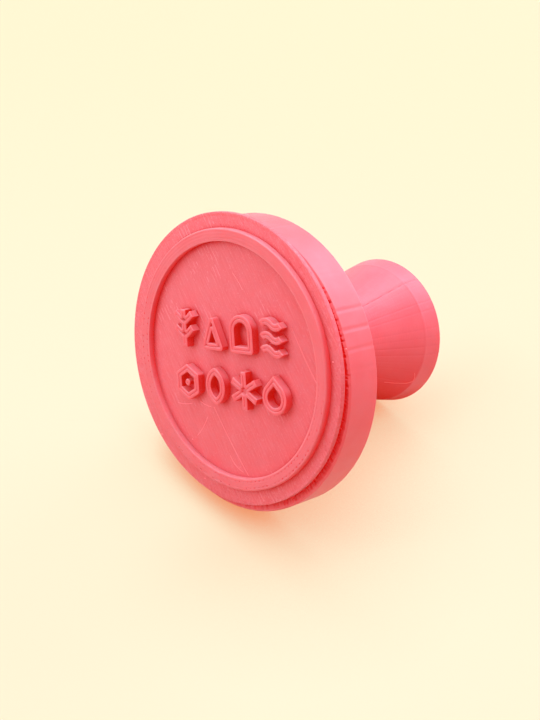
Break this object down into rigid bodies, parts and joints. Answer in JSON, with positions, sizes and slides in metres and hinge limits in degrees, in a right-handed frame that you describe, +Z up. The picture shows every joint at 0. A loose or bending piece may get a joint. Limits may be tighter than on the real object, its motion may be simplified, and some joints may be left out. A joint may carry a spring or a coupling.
{
  "type": "clay stamp",
  "caption": "Round printed clay stamp lying on its side: thin stamping plate with a border ring and raised figures, bonded to a thick flange with a flared grip.",
  "frame": {"origin": "on the table, under the middle of the lying stamp's bounding box", "axes": "+Z up from the table; the stamping face looks along -Y and about 20 degrees up; the grip points along +Y; +X is to the right as the face is seen from the front"},
  "size_m": [0.0402, 0.0402, 0.0403],
  "materials": {
    "grip_plastic": "coral pink print, flat-sided with fine rings round the axis, satin",
    "flange_plastic": "coral pink print, flat-sided wall with fine rings, satin",
    "plate_plastic": "coral pink print, flat field with fine diagonal lines, satin",
    "ring_plastic": "coral pink print, concentric lines with small pinholes, satin",
    "figure_plastic": "coral pink print, two lines side by side with a fine groove, satin",
    "bond": "dried clear glue, dark in the joint"
  },
  "bodies": {
    "root": {"grip": "grip_plastic", "backing_flange": "flange_plastic", "bond_film": "bond", "stamping_plate": "plate_plastic", "border_ring": "ring_plastic", "relief_sprig": "figure_plastic", "relief_triangle": "figure_plastic", "relief_arch": "figure_plastic", "relief_waves": "figure_plastic", "relief_hexagon": "figure_plastic", "relief_leaf": "figure_plastic", "relief_star": "figure_plastic", "relief_drop": "figure_plastic"}
  },
  "joints": []
}
